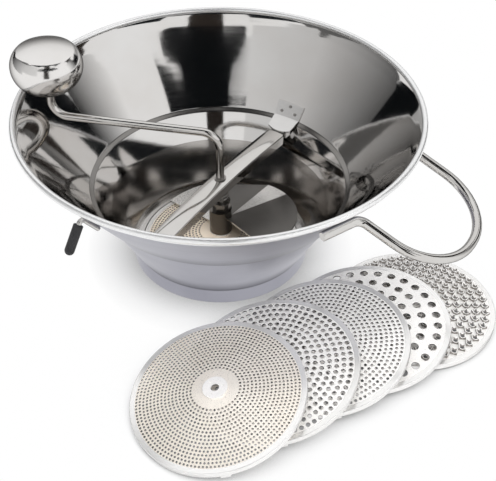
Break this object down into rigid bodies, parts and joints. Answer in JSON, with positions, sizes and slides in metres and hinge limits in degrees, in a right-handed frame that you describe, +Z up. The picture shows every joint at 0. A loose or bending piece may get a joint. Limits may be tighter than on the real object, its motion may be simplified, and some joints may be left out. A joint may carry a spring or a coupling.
{
  "type": "food mill",
  "caption": "Hand-cranked food mill: wide steel bowl on a narrow base, crossbar-held crank with helical press blade, loop handle, pot hooks, and loose perforated discs.",
  "frame": {"origin": "centre of the base ring's outlet, on the bench", "axes": "+Z up along the crank axis, +X to the viewer's right, +Y away from the viewer"},
  "size_m": [0.3678, 0.3986, 0.17],
  "materials": {
    "bowl_steel": "satin outside, polished inside",
    "polished_steel": "polished",
    "satin_steel": "satin",
    "dark_steel": "oiled",
    "disc_steel": "satin",
    "black_sleeve": "matte"
  },
  "bodies": {
    "bowl": {"bowl": "bowl_steel", "seat_ring": "bowl_steel", "loop_handle": "polished_steel", "rear_bracket": "satin_steel", "rear_bracket_rivets": "satin_steel", "front_bracket": "satin_steel", "front_bracket_rivets": "satin_steel", "left_hook_wire": "polished_steel", "left_hook_sleeve": "black_sleeve", "rear_hook_wire": "polished_steel", "rear_hook_sleeve": "black_sleeve", "fitted_disc": "disc_steel", "fitted_disc_hub": "disc_steel"},
    "crossbar": {"crossbar": "satin_steel", "crossbar_bush": "dark_steel", "press_spring": "dark_steel"},
    "spring_seat": {"spring_washer": "dark_steel"},
    "crank": {"crank_rod": "polished_steel", "blade_sleeve": "polished_steel", "press_blade": "polished_steel", "shaft_nut": "dark_steel", "knob_retainer": "satin_steel", "knob_washer": "satin_steel"},
    "knob": {"knob": "polished_steel", "knob_bush": "satin_steel"},
    "grater_disc": {"grater_disc": "disc_steel", "grater_disc_hub": "disc_steel"},
    "coarse_disc": {"coarse_disc": "disc_steel", "coarse_disc_hub": "disc_steel"},
    "small_hole_disc": {"small_hole_disc": "disc_steel", "small_hole_disc_hub": "disc_steel"},
    "medium_disc": {"medium_disc": "disc_steel", "medium_disc_hub": "disc_steel"},
    "fine_disc": {"fine_disc": "disc_steel", "fine_disc_hub": "disc_steel"}
  },
  "joints": [
    {"name": "crossbar_twist", "type": "hinge", "parent": "bowl", "child": "crossbar", "pos_m": [0, 0, 0.0665], "axis": [0, 0, 1], "range_deg": [0, 30]},
    {"name": "press_float", "type": "slide", "parent": "crossbar", "child": "spring_seat", "axis": [0, 0, 1], "range_m": [0, 0.003], "stiffness_N_per_m": 2500, "springref_m": -0.004, "deforming": ["press_spring"]},
    {"name": "crank_turn", "type": "hinge", "parent": "spring_seat", "child": "crank", "pos_m": [0, 0, 0.04], "axis": [0, 0, -1], "continuous": true},
    {"name": "knob_spin", "type": "hinge", "parent": "crank", "child": "knob", "pos_m": [-0.12979, 0.02406, 0.145], "axis": [0, 0, 1], "continuous": true},
    {"name": "grater_disc_lift", "type": "slide", "parent": "bowl", "child": "grater_disc", "axis": [0, 0, 1], "range_m": [0, 0.008]},
    {"name": "coarse_disc_lift", "type": "slide", "parent": "grater_disc", "child": "coarse_disc", "axis": [0, 0, 1], "range_m": [0, 0.008]},
    {"name": "small_hole_disc_lift", "type": "slide", "parent": "coarse_disc", "child": "small_hole_disc", "axis": [0, 0, 1], "range_m": [0, 0.008]},
    {"name": "medium_disc_lift", "type": "slide", "parent": "small_hole_disc", "child": "medium_disc", "axis": [0, 0, 1], "range_m": [0, 0.008]},
    {"name": "fine_disc_lift", "type": "slide", "parent": "medium_disc", "child": "fine_disc", "axis": [0, 0, 1], "range_m": [0, 0.008]}
  ]
}
